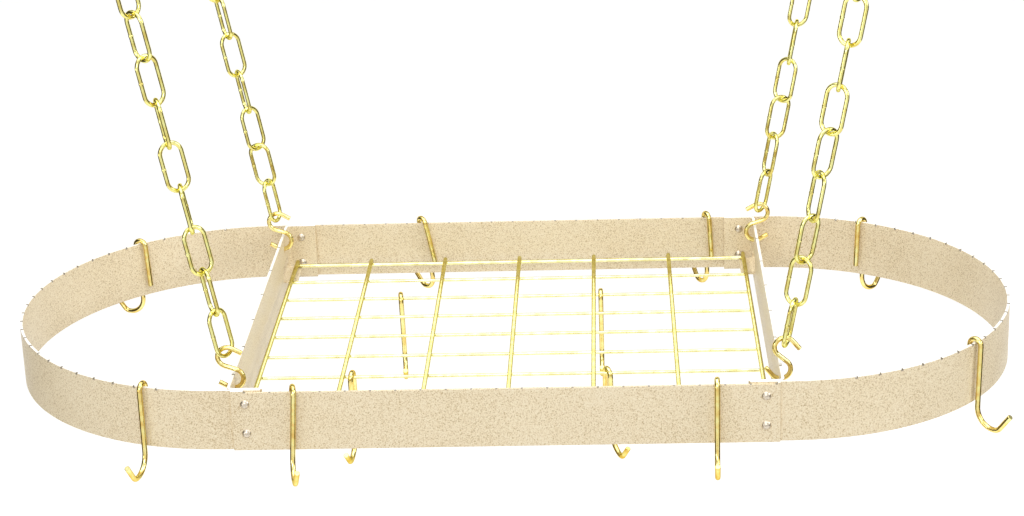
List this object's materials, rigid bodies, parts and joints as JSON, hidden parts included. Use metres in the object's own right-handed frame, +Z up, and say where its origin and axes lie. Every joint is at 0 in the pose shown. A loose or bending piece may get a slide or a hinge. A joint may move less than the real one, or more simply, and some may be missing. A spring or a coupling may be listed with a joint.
{
  "type": "hanging pot rack",
  "caption": "Oval hanging pot rack: a flat steel band around a lift-out wire grid, hung by chains and S-hooks from ceiling hooks, with pot hooks on rim and grid.",
  "frame": {"origin": "on the ceiling, over the middle of the rack", "axes": "+X along the length of the oval, +Y from the front panel to the rear panel, +Z up into the ceiling"},
  "size_m": [1.08, 0.599, 0.6863],
  "materials": {
    "powder_coat": "hammered almond powder coat",
    "brass_plating": "bright plated wire",
    "rivet_metal": "satin"
  },
  "bodies": {
    "ceiling_hooks": {"ceiling_hook_front_left": "brass_plating", "ceiling_hook_front_right": "brass_plating", "ceiling_hook_rear_left": "brass_plating", "ceiling_hook_rear_right": "brass_plating"},
    "chain_front_left": {"chain_front_left": "brass_plating", "s_hook_front_left": "brass_plating"},
    "chain_front_right": {"chain_front_right": "brass_plating", "s_hook_front_right": "brass_plating"},
    "chain_rear_left": {"chain_rear_left": "brass_plating", "s_hook_rear_left": "brass_plating"},
    "chain_rear_right": {"chain_rear_right": "brass_plating", "s_hook_rear_right": "brass_plating"},
    "rack": {"front_panel": "powder_coat", "rear_panel": "powder_coat", "left_bow": "powder_coat", "right_bow": "powder_coat", "left_crossbar": "powder_coat", "right_crossbar": "powder_coat", "rivets_front_left": "rivet_metal", "rivets_front_right": "rivet_metal", "rivets_rear_left": "rivet_metal", "rivets_rear_right": "rivet_metal"},
    "grid": {"cross_wire_1": "brass_plating", "cross_wire_2": "brass_plating", "cross_wire_3": "brass_plating", "cross_wire_4": "brass_plating", "cross_wire_5": "brass_plating", "cross_wire_6": "brass_plating", "cross_wire_7": "brass_plating", "long_wire_1": "brass_plating", "long_wire_2": "brass_plating", "long_wire_3": "brass_plating", "long_wire_4": "brass_plating", "long_wire_5": "brass_plating", "long_wire_6": "brass_plating", "long_wire_7": "brass_plating", "long_wire_8": "brass_plating", "long_wire_9": "brass_plating"},
    "rim_hook_front_1": {"rim_hook_front_1": "brass_plating"},
    "rim_hook_front_2": {"rim_hook_front_2": "brass_plating"},
    "rim_hook_right_front": {"rim_hook_right_front": "brass_plating"},
    "rim_hook_right_rear": {"rim_hook_right_rear": "brass_plating"},
    "rim_hook_rear_1": {"rim_hook_rear_1": "brass_plating"},
    "rim_hook_rear_2": {"rim_hook_rear_2": "brass_plating"},
    "rim_hook_left_rear": {"rim_hook_left_rear": "brass_plating"},
    "rim_hook_left_front": {"rim_hook_left_front": "brass_plating"},
    "grid_hook_rear_left": {"grid_hook_rear_left": "brass_plating"},
    "grid_hook_front_left": {"grid_hook_front_left": "brass_plating"},
    "grid_hook_rear_right": {"grid_hook_rear_right": "brass_plating"},
    "grid_hook_front_right": {"grid_hook_front_right": "brass_plating"}
  },
  "joints": [
    {"name": "swing_front_left", "type": "hinge", "parent": "ceiling_hooks", "child": "chain_front_left", "pos_m": [-0.36686, -0.208, -0.03872], "axis": [1, 0, 0], "range_deg": [-20, 20]},
    {"name": "swing_front_right", "type": "hinge", "parent": "ceiling_hooks", "child": "chain_front_right", "pos_m": [0.36686, -0.208, -0.03872], "axis": [1, 0, 0], "range_deg": [-20, 20]},
    {"name": "swing_rear_left", "type": "hinge", "parent": "ceiling_hooks", "child": "chain_rear_left", "pos_m": [-0.36686, 0.208, -0.03872], "axis": [1, 0, 0], "range_deg": [-20, 20]},
    {"name": "swing_rear_right", "type": "hinge", "parent": "ceiling_hooks", "child": "chain_rear_right", "pos_m": [0.36686, 0.208, -0.03872], "axis": [1, 0, 0], "range_deg": [-20, 20]},
    {"name": "rack_level", "type": "hinge", "parent": "chain_front_left", "child": "rack", "pos_m": [-0.279, -0.208, -0.52315], "axis": [1, 0, 0], "range_deg": [-20, 20]},
    {"name": "grid_lift", "type": "slide", "parent": "rack", "child": "grid", "axis": [0, 0, 1], "range_m": [0, 0.018]},
    {"name": "lift_rim_hook_front_1", "type": "slide", "parent": "rack", "child": "rim_hook_front_1", "axis": [0, 0, 1], "range_m": [0, 0.06]},
    {"name": "lift_rim_hook_front_2", "type": "slide", "parent": "rack", "child": "rim_hook_front_2", "axis": [0, 0, 1], "range_m": [0, 0.06]},
    {"name": "lift_rim_hook_right_front", "type": "slide", "parent": "rack", "child": "rim_hook_right_front", "axis": [0, 0, 1], "range_m": [0, 0.06]},
    {"name": "lift_rim_hook_right_rear", "type": "slide", "parent": "rack", "child": "rim_hook_right_rear", "axis": [0, 0, 1], "range_m": [0, 0.06]},
    {"name": "lift_rim_hook_rear_1", "type": "slide", "parent": "rack", "child": "rim_hook_rear_1", "axis": [0, 0, 1], "range_m": [0, 0.06]},
    {"name": "lift_rim_hook_rear_2", "type": "slide", "parent": "rack", "child": "rim_hook_rear_2", "axis": [0, 0, 1], "range_m": [0, 0.06]},
    {"name": "lift_rim_hook_left_rear", "type": "slide", "parent": "rack", "child": "rim_hook_left_rear", "axis": [0, 0, 1], "range_m": [0, 0.06]},
    {"name": "lift_rim_hook_left_front", "type": "slide", "parent": "rack", "child": "rim_hook_left_front", "axis": [0, 0, 1], "range_m": [0, 0.06]},
    {"name": "swing_grid_hook_rear_left", "type": "hinge", "parent": "grid", "child": "grid_hook_rear_left", "pos_m": [-0.1334, 0.115, -0.5532], "axis": [1, 0, 0], "range_deg": [-20, 20]},
    {"name": "swing_grid_hook_front_left", "type": "hinge", "parent": "grid", "child": "grid_hook_front_left", "pos_m": [-0.1684, -0.115, -0.5532], "axis": [1, 0, 0], "range_deg": [-20, 20]},
    {"name": "swing_grid_hook_rear_right", "type": "hinge", "parent": "grid", "child": "grid_hook_rear_right", "pos_m": [0.0967, 0.115, -0.5532], "axis": [1, 0, 0], "range_deg": [-20, 20]},
    {"name": "swing_grid_hook_front_right", "type": "hinge", "parent": "grid", "child": "grid_hook_front_right", "pos_m": [0.1037, -0.115, -0.5532], "axis": [1, 0, 0], "range_deg": [-20, 20]}
  ],
  "couplings": [
    {"joint": "swing_front_right", "follows": "swing_front_left", "ratio": 1},
    {"joint": "swing_rear_left", "follows": "swing_front_left", "ratio": 1},
    {"joint": "swing_rear_right", "follows": "swing_front_left", "ratio": 1},
    {"joint": "rack_level", "follows": "swing_front_left", "ratio": -1}
  ]
}
